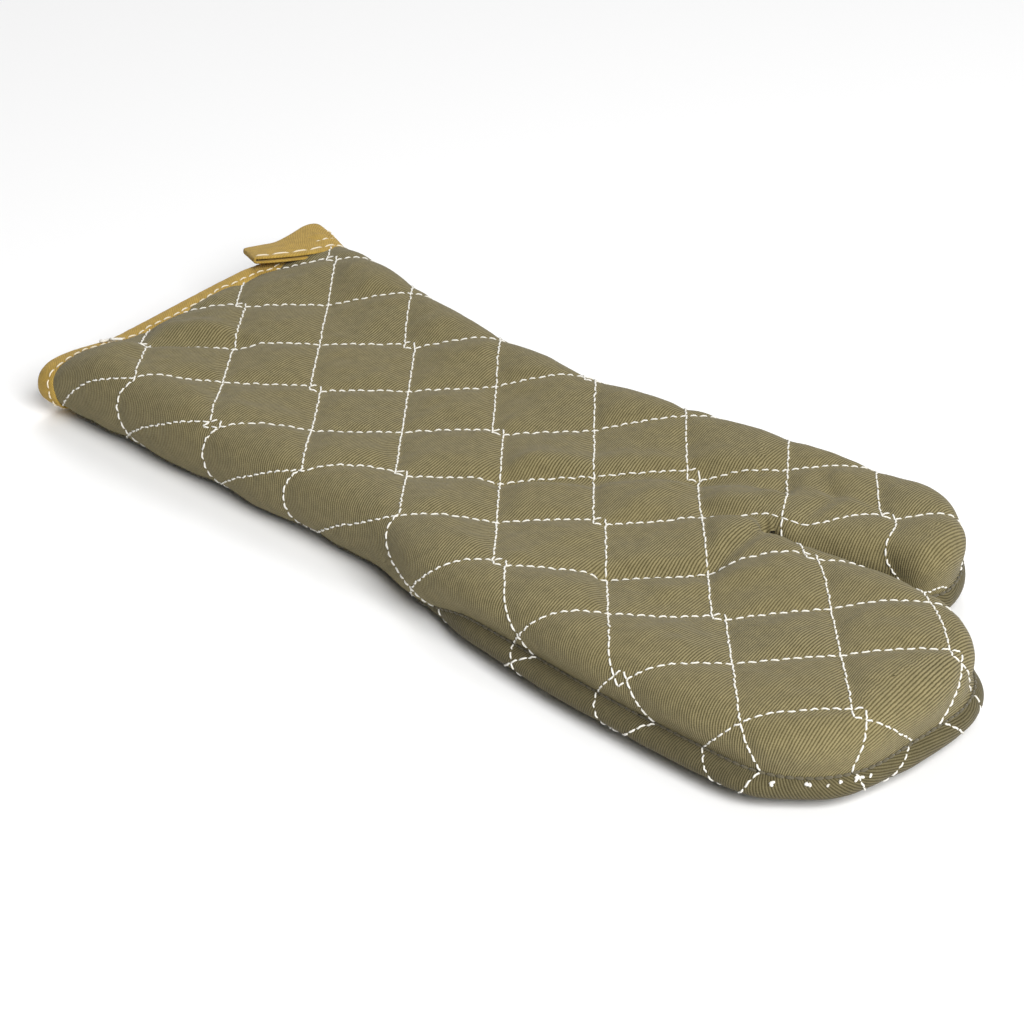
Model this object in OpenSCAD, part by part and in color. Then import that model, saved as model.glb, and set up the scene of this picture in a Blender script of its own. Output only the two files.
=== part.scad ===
// Quilted oven mitt with a bound cuff and a hanging loop.
// The fingertips point along +X, the thumb lies on the +Y side, and the mitt rests on its lower face.

/* [Mitt] */
// Distance from the cuff edge to the fingertips
mitt_length = 430; // [400:5:460]
// Thickness over the two quilted panels as it lies empty
mitt_thickness = 29.2; // [28:0.2:34]
// Radius of the rounded rim along the side seam
rim_radius = 15; // [12:0.5:18]

/* [Quilting] */
// Thickness of the outer cotton twill
outer_thickness = 0.8; // [0.5:0.1:1.2]
// Thickness of the batting
batting_thickness = 6; // [4:0.5:7]
// Thickness of the inner lining
lining_thickness = 0.8; // [0.5:0.1:1.2]
// Side of one quilted diamond
diamond_side = 37; // [30:1:45]
// Width of a quilting line
thread_width = 0.6; // [0.4:0.1:1]

/* [Cuff] */
// Visible width of the cuff binding tape
binding_width = 11; // [8:1:16]
// Thickness of the folded binding tape
binding_thickness = 1.2; // [0.8:0.1:1.6]
// Distance that the compressed cuff edge sinks under the binding
cuff_pinch = 2.2; // [2:0.1:3]

/* [Hanging loop] */
// Width of the loop tape
loop_width = 23; // [16:1:26]
// Length of the flattened loop
loop_length = 46; // [36:2:56]
// Thickness of one layer of the loop tape
loop_tape = 1.5; // [1:0.1:2]
// Clear height inside the loop at its free end
loop_gap = 6; // [5:0.2:7]

/* [Hidden] */

olive = [0.42, 0.40, 0.29];
natural = [0.86, 0.83, 0.74];
silver = [0.74, 0.74, 0.72];
tan = [0.72, 0.58, 0.33];
white = [0.93, 0.92, 0.88];

// Plan of the mitt, before it is moved to its origin.
cuff_x = -mitt_length / 2;
tip_x = mitt_length / 2;
cuff_near_y = -71;
hand_near_y = -89.5;
hand_far_y = 25.2;
near_corner_r = 26;
far_corner_r = 32;
crotch = [93.6, 28.6];
thumb_root = [54.8, 82.8];
thumb_tip_x = 161.5;
thumb_arc = [122, 47.5];
thumb_arc_r = 40.5;
thumb_corner = [150, 50];
thumb_corner_r = 12.5;
finger_fold_x = 124;
fold_gap = 0.3;

// Heights. The panels meet at the side seam, half way up.
seam_gap = 0.4;
seam_z = mitt_thickness / 2;
half_height = (mitt_thickness - seam_gap) / 2;
outer_in = outer_thickness;
batting_in = outer_in + batting_thickness;
lining_in = batting_in + lining_thickness;
tape_gap = 0.1;

// Where the rows of quilting lie across the mitt, as parts of a diamond side.
quilt_phase = [0.765, 0.665];

// The loop hangs 10 mm past the cuff edge, and its box sets the low X end.
loop_overhang = 10;
loop_end_y = 88;
loop_z = mitt_thickness + 0.4;
loop_outer_r = loop_gap / 2 + loop_tape;
low_x = cuff_x - loop_overhang;
low_y = hand_near_y;
high_y = far_side(cuff_x) + binding_thickness + tape_gap;
origin_shift = [-(low_x + tip_x) / 2, -(low_y + high_y) / 2, 0];

function smooth(u) = let (c = max(0, min(1, u))) c * c * (3 - 2 * c);
function mix(a, b, u) = a + (b - a) * u;
function arc_drop(r, d) = sqrt(max(0, r * r - d * d));

// Near and far sides of the whole mitt, as Y at a given X. The cuff half of the near side is rolled under.
function near_side(x) = cuff_near_y
    - 12 * smooth((x + 20) / 50)
    + (hand_near_y - cuff_near_y + 12) * smooth((x - 25) / 120);
function far_side(x) = x < -40
    ? 71 + 20 * pow((x + 40) / 160, 2)
    : 71 + 17 * smooth((x + 40) / 150);

// Outlines of the fingers and the thumb, moved inwards by e.
function finger_low(x, e) = x < tip_x - near_corner_r
    ? near_side(x) + e
    : hand_near_y + near_corner_r - arc_drop(near_corner_r - e, x - tip_x + near_corner_r);
function finger_high(x, e) = x < tip_x - far_corner_r
    ? hand_far_y - e
    : hand_far_y - far_corner_r + arc_drop(far_corner_r - e, x - tip_x + far_corner_r);
function cut_y(x) = mix(thumb_root.y, crotch.y, (x - thumb_root.x) / (crotch.x - thumb_root.x));
function thumb_side(x) = mix(crotch.y, thumb_corner.y - thumb_corner_r,
    (x - crotch.x) / (thumb_corner.x - crotch.x));
function crotch_clear(x, e) = crotch.y - arc_drop(e, x - crotch.x);
function thumb_edge(x, e) = x < crotch.x
    ? cut_y(x)
    : x < thumb_corner.x
        ? thumb_side(x) + e
        : thumb_corner.y - arc_drop(thumb_corner_r - e, x - thumb_corner.x);
function thumb_low(x, e) = max(thumb_edge(x, e), crotch.y + arc_drop(e, x - crotch.x));
function thumb_high(x, e) = x < thumb_arc.x
    ? far_side(x) - e
    : thumb_arc.y + arc_drop(thumb_arc_r - e, x - thumb_arc.x);

// Far boundary of the palm: the side seam, then the line where the thumb folds, then the side seam again.
function palm_high(x, e) = x > crotch.x
    ? min(hand_far_y - e, x < crotch.x + e ? crotch_clear(x, e) : crotch.y)
    : x > crotch.x - e
        ? min(cut_y(x), crotch_clear(x, e))
        : min(far_side(x) - e, x < thumb_root.x ? far_side(x) : cut_y(x));

function clip_tip(p) = [min(p.x, thumb_tip_x), p.y];

// The side seam as one open line from the near end of the cuff round to its far end.
seam_line = concat(
    [for (x = [cuff_x - 20 : 8 : 180]) [x, near_side(x)]],
    [for (a = [-90 : 15 : 0]) [tip_x - near_corner_r + near_corner_r * cos(a),
        hand_near_y + near_corner_r + near_corner_r * sin(a)]],
    [for (a = [0 : 15 : 90]) [tip_x - far_corner_r + far_corner_r * cos(a),
        hand_far_y - far_corner_r + far_corner_r * sin(a)]],
    [[crotch.x + 8, hand_far_y], crotch],
    [for (a = [-90 : 15 : -15]) clip_tip(thumb_corner + thumb_corner_r * [cos(a), sin(a)])],
    [for (a = [2.5 : 12.5 : 90]) clip_tip(thumb_arc + thumb_arc_r * [cos(a), sin(a)])],
    [for (x = [114 : -8 : cuff_x - 20]) [x, far_side(x)]],
    [[cuff_x - 20, far_side(cuff_x - 20)]]
);
function segment_distance(p, a, b) = let (ab = b - a, u = max(0, min(1, (p - a) * ab / (ab * ab))))
    norm(p - a - u * ab);
function seam_distance(p) = min([for (i = [0 : len(seam_line) - 2])
    segment_distance(p, seam_line[i], seam_line[i + 1])]);

// Height above the seam of the surface that lies e inside the outer face.
function cuff_sink(x) = cuff_pinch * (1 - smooth((x - cuff_x - binding_width) / 16));
function surface_height(p, e) = let (u = min(1, max(0, (seam_distance(p) - e) / (rim_radius - e))))
    (half_height - cuff_sink(p.x) - e) * sqrt(1 - (1 - u) * (1 - u));
function surface_point(p, e, side) = [p.x, p.y, seam_z + side * (seam_gap / 2 + surface_height(p, e))];

// A grid of surface points, one row for each X in xs, with rows closer together at both rims.
function spread(j, n) = (1 - cos(180 * j / n)) / 2;
function surface_grid(rows, e, side, n) = [
    for (row = rows)
        for (j = [0 : n])
            surface_point([row[0], mix(row[1], row[2], spread(j, n))], e, side)
];
palm_xs = concat(
    [cuff_x + 0.8, cuff_x + binding_width + 1],
    [for (i = [1 : 6]) cuff_x + 0.8 + 28 * i],
    [-22, -10, 2, 14, 26, 40, 52, 58, 66, 74, 82, 87, 91, 93.4, 95, 99, 104, 112],
    [finger_fold_x - fold_gap]
);
function palm_rows(e) = [for (x = palm_xs) [x, near_side(x) + e, palm_high(x - fold_gap, e)]];
function fingers_rows(e) = [for (i = [0 : 10])
    let (x = mix(finger_fold_x + fold_gap, tip_x - e, sin(9 * i))) [x, finger_low(x, e), finger_high(x, e)]];
function thumb_rows(e) = let (start = thumb_root.x + 2.4 + 0.62 * e) [for (i = [0 : 12])
    let (x = mix(start, thumb_tip_x - e, sin(7.5 * i))) [x, thumb_low(x - fold_gap, e), thumb_high(x, e)]];
function part_rows(part, e) = part == "palm" ? palm_rows(e)
    : part == "fingers" ? fingers_rows(e) : thumb_rows(e);

// One layer of one panel: the space between the surfaces at depths e1 and e2. side is 1 for the top panel.
module layer(part, e1, e2, side) {
    n = part == "thumb" ? 9 : 14;
    rows = part_rows(part, e1);
    last = len(rows) - 1;
    count = len(rows) * (n + 1);
    outside = surface_grid(rows, e1, side, n);
    inside = surface_grid(part_rows(part, e2), e2, side, n);
    function at(k, i, j) = k * count + i * (n + 1) + j;
    function quad(a, b, c, d) = side > 0 ? [[a, b, c], [a, c, d]] : [[a, c, b], [a, d, c]];
    skins = [for (i = [0 : last - 1]) for (j = [0 : n - 1]) for (t = concat(
        quad(at(0, i, j), at(0, i, j + 1), at(0, i + 1, j + 1), at(0, i + 1, j)),
        quad(at(1, i, j), at(1, i + 1, j), at(1, i + 1, j + 1), at(1, i, j + 1)))) t];
    sides = [for (i = [0 : last - 1]) for (t = concat(
        quad(at(0, i, 0), at(0, i + 1, 0), at(1, i + 1, 0), at(1, i, 0)),
        quad(at(0, i, n), at(1, i, n), at(1, i + 1, n), at(0, i + 1, n)))) t];
    ends = [for (j = [0 : n - 1]) for (t = concat(
        quad(at(0, 0, j), at(1, 0, j), at(1, 0, j + 1), at(0, 0, j + 1)),
        quad(at(0, last, j), at(0, last, j + 1), at(1, last, j + 1), at(1, last, j)))) t];
    translate(origin_shift) polyhedron(concat(outside, inside), concat(skins, sides, ends));
}

module outer(part, side) {
    color(olive) layer(part, 0, outer_in, side);
}

module batting(part, side) {
    color(natural) layer(part, outer_in, batting_in, side);
}

module lining(part, side) {
    color(silver) layer(part, batting_in, lining_in, side);
}

// Plan outlines for the flat-laid threads.
module mitt_plan() {
    polygon([for (p = seam_line) if (p.x > cuff_x - 1) p]);
}

module part_plan(part) {
    big = 2 * mitt_length;
    if (part == "fingers") {
        translate([finger_fold_x + 1, -big / 2]) square([big, big / 2 + crotch.y - 1]);
    }
    if (part == "thumb") {
        polygon([thumb_root + [2, 2], thumb_root + [80, 60], [tip_x, 100], [tip_x, crotch.y + 6],
            crotch + [2, 2]]);
    }
    if (part == "palm") {
        difference() {
            translate([-big, -big / 2]) square([big + finger_fold_x - 1, big]);
            polygon([thumb_root + [-1.2, -1.2], thumb_root + [-1.2, 60], [tip_x, 100], [tip_x, crotch.y - 2],
                crotch + [-1.2, -1.2]]);
        }
    }
}

// Two sets of parallel rows of stitching that cross as diamonds, clear of the rim.
module quilt_lines() {
    rows = 9;
    offset(r = thread_width / 4)
        for (k = [0, 1])
            rotate(k == 0 ? 45 : -45)
                for (i = [-rows : rows])
                    translate([-mitt_length, (i + quilt_phase[k]) * diamond_side - thread_width / 4])
                        square([2 * mitt_length, thread_width / 2]);
}

module quilting(part, side) {
    z = side > 0 ? mitt_thickness : thread_width / 4;
    color(white) translate(origin_shift) translate([0, 0, z])
        linear_extrude(side > 0 ? thread_width : thread_width / 2)
            offset(delta = 0.01)
                intersection() {
                    quilt_lines();
                    part_plan(part);
                    offset(delta = -rim_radius - 1) mitt_plan();
                    translate([cuff_x + 30, -mitt_length]) square(2 * mitt_length);
                }
}

// Lockstitched side seam between the two panels.
module seam(part) {
    color(olive * 0.8) translate(origin_shift) translate([0, 0, seam_z - seam_gap / 2 + 0.02])
        linear_extrude(seam_gap - 0.04)
            offset(delta = 0.01)
                intersection() {
                    difference() {
                        offset(delta = -1) mitt_plan();
                        offset(delta = -4) mitt_plan();
                    }
                    part_plan(part);
                    translate([cuff_x + binding_width + 2, -mitt_length]) square(2 * mitt_length);
                }
}

// A tube that runs round the cuff mouth. Each corner of its section is [X, depth inside the outer face].
module cuff_ring(section) {
    n = 14;
    m = len(section);
    count = 2 * (n + 1);
    function ring_point(c, k) = let (
        top = k <= n,
        t = spread(top ? k : 2 * n + 1 - k, n),
        low = near_side(c.x) + c.y,
        high = far_side(c.x) - c.y,
        y = mix(low, high, t),
        d = min(y - low, high - y),
        u = min(1, max(0, d / (rim_radius - c.y))),
        h = (half_height - cuff_pinch - c.y) * sqrt(1 - (1 - u) * (1 - u)))
        [c.x, y, seam_z + (top ? 1 : -1) * (seam_gap / 2 + h)];
    points = [for (k = [0 : count - 1]) for (c = section) ring_point(c, k)];
    faces = [for (k = [0 : count - 1]) for (i = [0 : m - 1])
        let (a = k * m + i, b = k * m + (i + 1) % m, k2 = (k + 1) % count,
            c = k2 * m + (i + 1) % m, d = k2 * m + i)
            for (t = [[a, b, c], [a, c, d]]) t];
    translate(origin_shift) polyhedron(points, faces);
}

// Bias tape folded over the raw edges of both panels, outside and inside.
module cuff_binding() {
    inner_x = cuff_x + binding_width;
    web_x = cuff_x + 0.7;
    outer_face = tape_gap + binding_thickness;
    color(tan) cuff_ring([
        [inner_x, -outer_face], [cuff_x, -outer_face],
        [cuff_x, lining_in + outer_face], [inner_x, lining_in + outer_face],
        [inner_x, lining_in + tape_gap], [web_x, lining_in + tape_gap],
        [web_x, -tape_gap], [inner_x, -tape_gap]
    ]);
}

module binding_stitching() {
    row_x = cuff_x + binding_width - 2;
    face = -tape_gap - binding_thickness - 0.02;
    color(white) cuff_ring([
        [row_x + thread_width, face - thread_width], [row_x, face - thread_width],
        [row_x, face], [row_x + thread_width, face]
    ]);
}

// A strip of tape doubled back on itself, with its sewn end at the far corner of the cuff.
module loop_profile() {
    difference() {
        offset(r = loop_tape) loop_space();
        loop_space();
    }
}

module loop_space() {
    hull() {
        translate([loop_end_y - loop_length + loop_outer_r, loop_outer_r]) circle(d = loop_gap, $fn = 32);
        translate([loop_end_y - loop_tape - 1, loop_tape]) square([1, 0.3]);
    }
}

module hanging_loop() {
    color(tan) translate(origin_shift) translate([cuff_x - loop_overhang, 0, loop_z])
        rotate([90, 0, 90]) linear_extrude(loop_width) loop_profile();
}

// The bar of close stitches across the loop's sewn end.
module loop_bartack() {
    color(white) translate(origin_shift)
        translate([cuff_x + 1, loop_end_y - 2.6, loop_z + 2 * loop_tape + 0.5])
            cube([loop_width - loop_overhang - 2, 1.2, thread_width]);
}

module palm_outer_top() { outer("palm", 1); }
module palm_batting_top() { batting("palm", 1); }
module palm_lining_top() { lining("palm", 1); }
module palm_outer_bottom() { outer("palm", -1); }
module palm_batting_bottom() { batting("palm", -1); }
module palm_lining_bottom() { lining("palm", -1); }
module fingers_outer_top() { outer("fingers", 1); }
module fingers_batting_top() { batting("fingers", 1); }
module fingers_lining_top() { lining("fingers", 1); }
module fingers_outer_bottom() { outer("fingers", -1); }
module fingers_batting_bottom() { batting("fingers", -1); }
module fingers_lining_bottom() { lining("fingers", -1); }
module thumb_outer_top() { outer("thumb", 1); }
module thumb_batting_top() { batting("thumb", 1); }
module thumb_lining_top() { lining("thumb", 1); }
module thumb_outer_bottom() { outer("thumb", -1); }
module thumb_batting_bottom() { batting("thumb", -1); }
module thumb_lining_bottom() { lining("thumb", -1); }
module palm_quilting_top() { quilting("palm", 1); }
module fingers_quilting_top() { quilting("fingers", 1); }
module thumb_quilting_top() { quilting("thumb", 1); }
module palm_quilting_bottom() { quilting("palm", -1); }
module fingers_quilting_bottom() { quilting("fingers", -1); }
module thumb_quilting_bottom() { quilting("thumb", -1); }
module palm_seam() { seam("palm"); }
module fingers_seam() { seam("fingers"); }
module thumb_seam() { seam("thumb"); }

palm_outer_top();
palm_batting_top();
palm_lining_top();
palm_outer_bottom();
palm_batting_bottom();
palm_lining_bottom();
fingers_outer_top();
fingers_batting_top();
fingers_lining_top();
fingers_outer_bottom();
fingers_batting_bottom();
fingers_lining_bottom();
thumb_outer_top();
thumb_batting_top();
thumb_lining_top();
thumb_outer_bottom();
thumb_batting_bottom();
thumb_lining_bottom();
palm_quilting_top();
fingers_quilting_top();
thumb_quilting_top();
palm_quilting_bottom();
fingers_quilting_bottom();
thumb_quilting_bottom();
palm_seam();
fingers_seam();
thumb_seam();
cuff_binding();
binding_stitching();
hanging_loop();
loop_bartack();
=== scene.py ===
import math

import bmesh
import bpy
import numpy as np
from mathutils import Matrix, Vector, noise
from mathutils.bvhtree import BVHTree
from mathutils.geometry import delaunay_2d_cdt


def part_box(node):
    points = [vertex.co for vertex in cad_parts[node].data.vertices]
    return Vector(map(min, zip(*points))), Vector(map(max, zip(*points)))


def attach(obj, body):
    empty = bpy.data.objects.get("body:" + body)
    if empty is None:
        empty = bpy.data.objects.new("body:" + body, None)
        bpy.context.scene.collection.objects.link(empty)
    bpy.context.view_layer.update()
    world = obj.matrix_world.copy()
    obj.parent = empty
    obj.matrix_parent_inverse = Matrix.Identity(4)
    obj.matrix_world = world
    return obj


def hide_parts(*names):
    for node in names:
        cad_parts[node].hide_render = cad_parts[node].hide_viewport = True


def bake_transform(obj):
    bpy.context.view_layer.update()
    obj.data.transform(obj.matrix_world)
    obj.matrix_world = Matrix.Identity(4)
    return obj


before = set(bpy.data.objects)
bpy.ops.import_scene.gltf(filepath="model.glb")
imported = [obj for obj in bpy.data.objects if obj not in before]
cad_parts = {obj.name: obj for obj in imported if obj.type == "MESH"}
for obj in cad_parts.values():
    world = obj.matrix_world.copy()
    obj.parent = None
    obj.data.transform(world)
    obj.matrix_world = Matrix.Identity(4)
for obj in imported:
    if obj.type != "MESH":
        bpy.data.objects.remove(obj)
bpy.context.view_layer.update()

# Lengths below are in millimetres, in the row frame. MM turns them into metres.
MM = 0.001


def box_mm(node):
    """Low and high corner of a CAD node's box."""
    low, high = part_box(node)
    return np.array(low) / MM, np.array(high) / MM


# ---------------------------------------------------------------- plan of the mitt
FINGERS_LOW, FINGERS_HIGH = box_mm("fingers_outer_top")
CUFF_X = box_mm("palm_outer_top")[0][0] - 0.8
TIP_X = FINGERS_HIGH[0]
NEAR_Y = FINGERS_LOW[1]
FAR_Y = FINGERS_HIGH[1]
CUFF_NEAR_Y = NEAR_Y + 18.5
CROTCH = np.array([104.5, 18.0])
THUMB_ROOT = np.array([59.8, 79.4])
MID_Z = 13.6  # height of the side seam
RIM, THUMB_RIM, CROTCH_RIM = 12.5, 10.5, 6.0  # how far in the rounded edge reaches
STEP = 2.5  # mesh spacing
DIAMOND = 36.95  # side of a quilting diamond along the cloth


def smooth(u):
    u = np.clip(u, 0.0, 1.0)
    return u * u * (3.0 - 2.0 * u)


def lengths(points):
    """Distance along a polyline at each of its points."""
    return np.concatenate([[0], np.cumsum(np.linalg.norm(np.diff(points, axis=0), axis=1))])


def place_at(points, along, u):
    """Place on a polyline at distance u, which may be an array."""
    return np.stack([np.interp(u, along, points[:, c]) for c in range(points.shape[1])], -1)


def near_side(x):
    return CUFF_NEAR_Y - 12.0 * smooth((x + 15) / 50) - 6.5 * smooth((x - 30) / 120)


def far_side(x):
    waist = FAR_Y + 44.3
    cuff = waist + 20.0 * (np.minimum(x + 35, 0) / 160) ** 2
    return cuff + 17.0 * smooth((x + 35) / 150)


def arc(centre, radius, start, stop):
    count = max(3, int(abs(math.radians(stop - start)) * radius / 1.2))
    angles = np.radians(np.linspace(start, stop, count))
    return [centre + radius * np.array([math.cos(a), math.sin(a)]) for a in angles]


def outline_points():
    """The outline as a dense open polyline, and where the crotch starts and ends on it.

    It runs from the near end of the cuff round the fingers, the crotch and the thumb to the far end.
    """
    near_r, far_r, crotch_r = 37.0, 42.0, 2.0
    points = [np.array([x, near_side(x)]) for x in np.linspace(CUFF_X, TIP_X - near_r - 3, 160)]
    points += arc(np.array([TIP_X - near_r, NEAR_Y + near_r]), near_r, -82, -4)
    points += arc(np.array([TIP_X - far_r, FAR_Y - far_r]), far_r, 5, 84)
    points += [np.array([x, FAR_Y + 0.3 - 5.0 * smooth((152 - x) / 44)])
               for x in np.linspace(TIP_X - far_r - 12, CROTCH[0] + 5, 30)]
    first = len(points)
    points += arc(CROTCH + np.array([crotch_r, 1.0]), crotch_r, -95, -280)
    last = len(points)
    corner = np.array([154.0, 46.5])
    start = CROTCH + np.array([7, 4])
    points += [start + u * (corner + np.array([-8, -13]) - CROTCH - np.array([7, 4]))
               for u in np.linspace(0, 1, 24)]
    points += arc(corner, 13.0, -72, 8)
    points += arc(np.array([126.0, 43.7]), 40.4, 20, 86)
    points += [np.array([x, far_side(x)]) for x in np.linspace(120, CUFF_X, 170)]
    return points, first, last


def resample(points, first, last):
    """Even steps along the outline, closer round the crotch, with inward normals."""
    pts = np.array(points)
    seg = np.linalg.norm(np.diff(pts, axis=0), axis=1)
    keep = np.concatenate([[True], seg > 1e-6])
    pts = pts[keep]
    along = lengths(pts)
    a, b = along[first], along[last - 1]
    before = np.linspace(0, a, int(a / STEP))
    turn = np.linspace(a, b, 20)[1:-1]
    after = np.linspace(b, along[-1], int((along[-1] - b) / STEP))
    s = np.concatenate([before, turn, after])
    out = place_at(pts, along, s)
    for _ in range(6):
        mid = out.copy()
        mid[1:-1] = (out[:-2] + 2 * out[1:-1] + out[2:]) / 4
        outside = np.ones(len(out), bool)
        outside[len(before) - 2:len(before) + len(turn) + 2] = False
        out[outside] = mid[outside]
    tangent = np.gradient(out, axis=0)
    tangent /= np.linalg.norm(tangent, axis=1)[:, None]
    normal = np.stack([-tangent[:, 1], tangent[:, 0]], 1)
    for _ in range(2):
        normal[1:-1] = (normal[:-2] + normal[1:-1] + normal[2:]) / 3
    normal /= np.linalg.norm(normal, axis=1)[:, None]
    normal[0] = (0, 1)
    normal[-1] = (0, -1)
    return out, normal, len(before) + len(turn) // 2


EDGE, NORMAL, CROTCH_AT = resample(*outline_points())
ROOT_AT = CROTCH_AT + int(np.argmin(np.linalg.norm(EDGE[CROTCH_AT:] - THUMB_ROOT, axis=1)))
AROUND = np.arange(len(EDGE))
THUMB_SHARE = smooth((AROUND - CROTCH_AT - 4) / 12) * smooth((ROOT_AT - AROUND) / 12)
AT_CROTCH = 1 - smooth((np.abs(AROUND - CROTCH_AT) - 6) / 16)
RIM_AT = RIM - (RIM - THUMB_RIM) * THUMB_SHARE
RIM_AT = RIM_AT + (CROTCH_RIM - RIM_AT) * AT_CROTCH
ROLL = (1 - smooth((EDGE[:, 0] - 12) / 45)) * (AROUND < CROTCH_AT / 2)


def edge_push():
    """How far the lips of the lower and the upper panel stand out past the outline, in mm."""
    x, y = EDGE.T
    hand = AROUND < CROTCH_AT - 8
    near = 4.0 * smooth((x - 30) / 60) * (1 - smooth((x - 188) / 18)) * (y < -45)
    tip = 1.6 * smooth((x - 200) / 12) * smooth((y + 60) / 20)
    lower = np.where(hand, near + tip, 0.0)
    corner_in = 1.8 * smooth((x - 180) / 25) * smooth((y + 30) / 30)
    upper = np.where(hand, -1.8 * smooth((x - 165) / 40) - corner_in,
                     -1.8 * THUMB_SHARE * smooth((x - 130) / 20))
    return {-1: lower, 1: upper}


PUSH = edge_push()


def edge_distance(points):
    """Distance from each plan point to the outline, and the outline sample nearest to it."""
    best = np.full(len(points), 1e9)
    which = np.zeros(len(points), int)
    for start in range(0, len(points), 4000):
        gap = points[start:start + 4000, None, :] - EDGE[None]
        gap = np.einsum("ijk,ijk->ij", gap, gap)
        which[start:start + 4000] = gap.argmin(1)
        best[start:start + 4000] = np.sqrt(gap.min(1))
    return best, which


# ---------------------------------------------------------------- heights before quilting
def top_level(x, y, d):
    """Height of the upper panel's stitch rows, high near the rim and sunk in the middle."""
    middle = smooth((d - 10) / 34)
    cuff_half = 4.0 * smooth((-x - 60) / 110)
    fingers = (1.4 + 4.6 * middle) * smooth((x - 110) / 90)
    pinch = (1.0 + 0.1125 * np.maximum(38 - y, 0)) * (1 - smooth((x - CUFF_X) / 36))
    under_loop = 3.5 * np.exp(-((x + 200) / 18) ** 2 - ((y - 68) / 24) ** 2)
    far = 1.6 * smooth((y - 30) / 40) * (1 - smooth((x - 60) / 20))
    return 30.2 - 4.8 * middle + cuff_half + fingers - pinch - under_loop + far


def bottom_level(x, y, d):
    cuff = 1.2 * (1 - smooth((x - CUFF_X) / 26))
    return 2.3 + 1.4 * (1 - smooth((d - 8) / 14)) + cuff


def corner(angle):
    """(distance inwards, height) on a squarish quarter round, each as a share of the radius."""
    power = 2 / 2.4
    across, up = max(math.cos(angle), 0.0), math.sin(angle)
    return 1 - across ** power, math.copysign(abs(up) ** power, up)


def rim_point(side, m, tau, top_z, bottom_z):
    """Distance inwards and height of the rim at outline sample m. tau is 0 at the seam, 1 inside."""
    low = math.radians(-36)
    d0, up = corner(low + (math.pi / 2 - low) * tau)
    least = corner(low)[1]
    level = top_z if side > 0 else bottom_z
    plain = MID_Z + (level - MID_Z) * (up - least) / (1 - least)
    start = math.radians(-66 if side > 0 else 66)
    d1, up = corner(start + (math.pi / 2 - start) * tau)
    near, far = (bottom_z, top_z) if side > 0 else (top_z, bottom_z)
    rolled = near + (far - near) * (up + 1) / 2
    roll = ROLL[m]
    out = PUSH[side][m] * math.sin(math.pi * tau ** 0.7)
    return ((1 - roll) * d0 + roll * d1) * RIM_AT[m] - out, (1 - roll) * plain + roll * rolled


# ---------------------------------------------------------------- where the quilting runs
LATTICE = 26.13  # half a diamond's diagonal in plan
LATTICE_X, LATTICE_Y = -154.6, -70.7  # where crossing (0, 0) lies
JOG = 4.4 / DIAMOND


def slide(x, y):
    """How far the rows have slipped along X where the cloth rolls over the near edge."""
    down = 1 - np.clip((-69 - y) / 28, 0, 1)
    return 24.0 * (1 - down ** 2) * (1 - smooth((x + 30) / 80))


def drift(x, y, on_thumb):
    """How far the cloth has shifted along Y from a square lattice. on_thumb is 1 on the thumb's rim."""
    ends = np.where(x > 16, 2.4e-4, 1.1e-4) * (x - 16) ** 2
    pull = 10.7 * smooth((x - 45) / 87) * smooth((y + 5.3) / 44)
    wall = 10.0 * on_thumb * smooth((50 - y) / 20) * smooth((x - 96) / 20)
    return ends - pull - wall


def to_lattice(x, y, on_thumb):
    """Cloth place to (i, j): i counts the rows across the view, j the rows along it."""
    v = y - drift(x, y, on_thumb) - LATTICE_Y
    u = x + slide(x, y) - LATTICE_X
    return (u + v) / (2 * LATTICE), (v - u) / (2 * LATTICE)


def from_lattice(i, j, on_thumb):
    x = LATTICE_X + LATTICE * (i - j)
    y = LATTICE_Y + LATTICE * (i + j)
    row_x, row_y = x, y
    for _ in range(20):
        x, y = row_x - slide(x, y), (y + row_y + drift(x, y, on_thumb)) / 2
    return x, y


def jog_offset(along, fixed, sign):
    """Sideways shift of a row of stitches between its jogs, which come at every third crossing."""
    start = fixed - 2 * sign
    return JOG * (np.mod((along - start) / 3, 1.0) - 0.5)


def line_distances(i, j):
    """Distance in mm to the nearest row of each family."""
    best = []
    for along, across, sign in ((j, i, 1), (i, j, -1)):
        near = np.full(np.shape(i), 1e9)
        base = np.floor(across)
        for k in (0, 1):
            fixed = base + k
            near = np.minimum(near, np.abs(across - fixed - jog_offset(along, fixed, sign)))
        best.append(near * DIAMOND)
    return best


def cell_value(i, j, seed):
    """A fixed pseudo-random number from 0 to 1 for each diamond."""
    v = np.sin(np.floor(i) * 127.1 + np.floor(j) * 311.7 + seed * 74.7) * 43758.5453
    return v - np.floor(v)


def noise_field(points, scale, seed):
    out = np.zeros(len(points))
    for n, p in enumerate(points):
        spot = Vector((p[0] / scale + seed * 17.3, p[1] / scale - seed * 5.1, seed * 3.7))
        out[n] = noise.fractal(spot, 0.6, 2.1, 3)
    return out


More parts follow.
